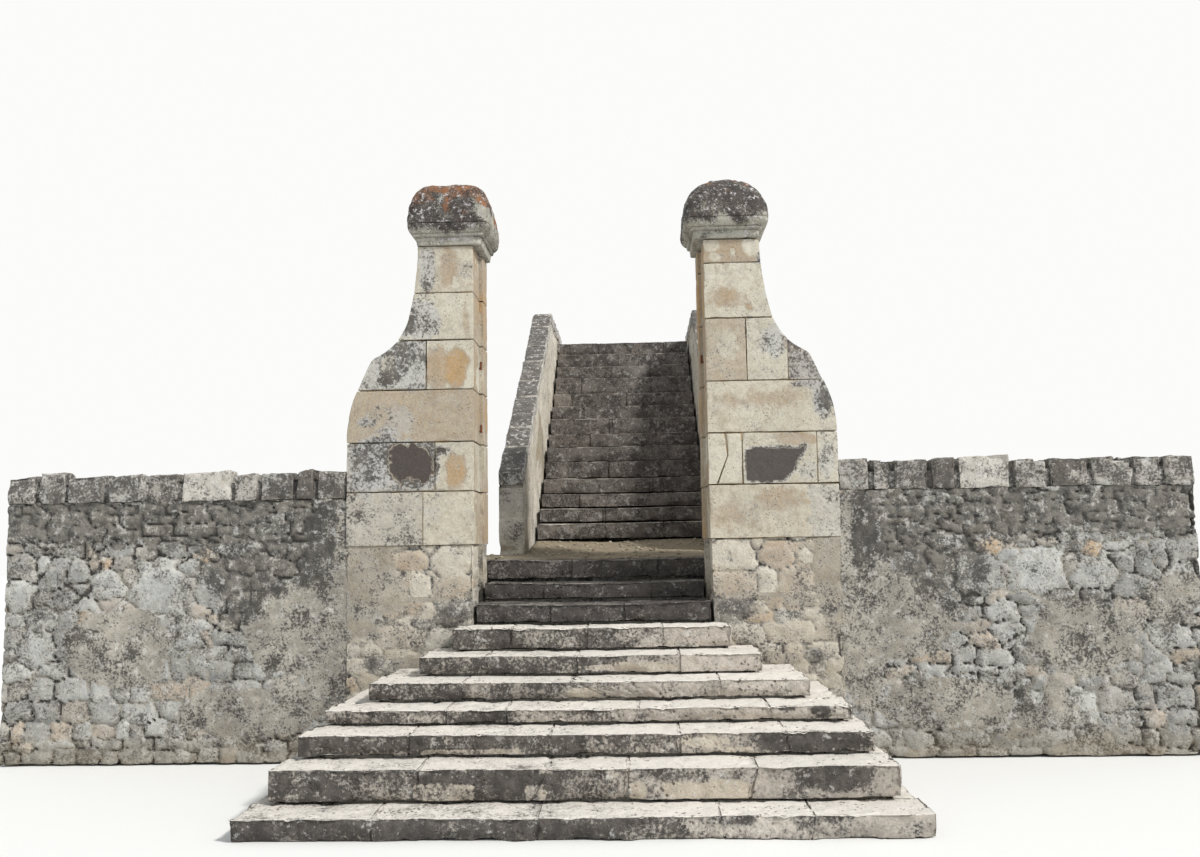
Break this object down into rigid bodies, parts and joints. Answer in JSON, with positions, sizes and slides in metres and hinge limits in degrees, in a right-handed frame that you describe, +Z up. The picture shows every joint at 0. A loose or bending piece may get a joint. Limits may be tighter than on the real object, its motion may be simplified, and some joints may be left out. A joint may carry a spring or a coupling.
{
  "type": "outdoor stone steps",
  "caption": "Garden stair of worn stone steps: a broad flared lower flight between two scrolled gate piers with domed caps, a landing and a steep upper flight between parapet walls.",
  "frame": {"origin": "on the gate axis, in the plane of the piers' front faces, at the level of the ground the stair stands on", "axes": "+X to the right seen from the foot of the stair, +Y up the flights and away from the viewer, +Z up"},
  "size_m": [9.28, 9.11, 4.5752],
  "materials": {
    "step_stone": "matte",
    "pier_ashlar": "matte",
    "cap_stone": "matte",
    "rubble_masonry": "matte",
    "parapet_masonry": "matte",
    "wall_coping": "matte",
    "landing_earth": "matte"
  },
  "bodies": {
    "root": {"landing_bed": "landing_earth", "landing_core": "rubble_masonry", "left_garden_wall": "rubble_masonry", "left_parapet_wall": "parapet_masonry", "left_pier_base": "pier_ashlar", "left_pier_cap": "cap_stone", "left_pier_course_1": "pier_ashlar", "left_pier_course_2": "pier_ashlar", "left_pier_course_3": "pier_ashlar", "left_pier_course_4": "pier_ashlar", "left_pier_course_5": "pier_ashlar", "left_pier_course_6": "pier_ashlar", "left_wall_coping": "wall_coping", "lower_core": "rubble_masonry", "lower_step_1": "step_stone", "lower_step_10": "step_stone", "lower_step_2": "step_stone", "lower_step_3": "step_stone", "lower_step_4": "step_stone", "lower_step_5": "step_stone", "lower_step_6": "step_stone", "lower_step_7": "step_stone", "lower_step_8": "step_stone", "lower_step_9": "step_stone", "right_garden_wall": "rubble_masonry", "right_parapet_wall": "parapet_masonry", "right_pier_base": "pier_ashlar", "right_pier_cap": "cap_stone", "right_pier_course_1": "pier_ashlar", "right_pier_course_2": "pier_ashlar", "right_pier_course_3": "pier_ashlar", "right_pier_course_4": "pier_ashlar", "right_pier_course_5": "pier_ashlar", "right_pier_course_6": "pier_ashlar", "right_wall_coping": "wall_coping", "top_landing_flags": "step_stone", "upper_core": "rubble_masonry", "upper_step_1": "step_stone", "upper_step_10": "step_stone", "upper_step_11": "step_stone", "upper_step_12": "step_stone", "upper_step_13": "step_stone", "upper_step_14": "step_stone", "upper_step_2": "step_stone", "upper_step_3": "step_stone", "upper_step_4": "step_stone", "upper_step_5": "step_stone", "upper_step_6": "step_stone", "upper_step_7": "step_stone", "upper_step_8": "step_stone", "upper_step_9": "step_stone"}
  },
  "joints": []
}
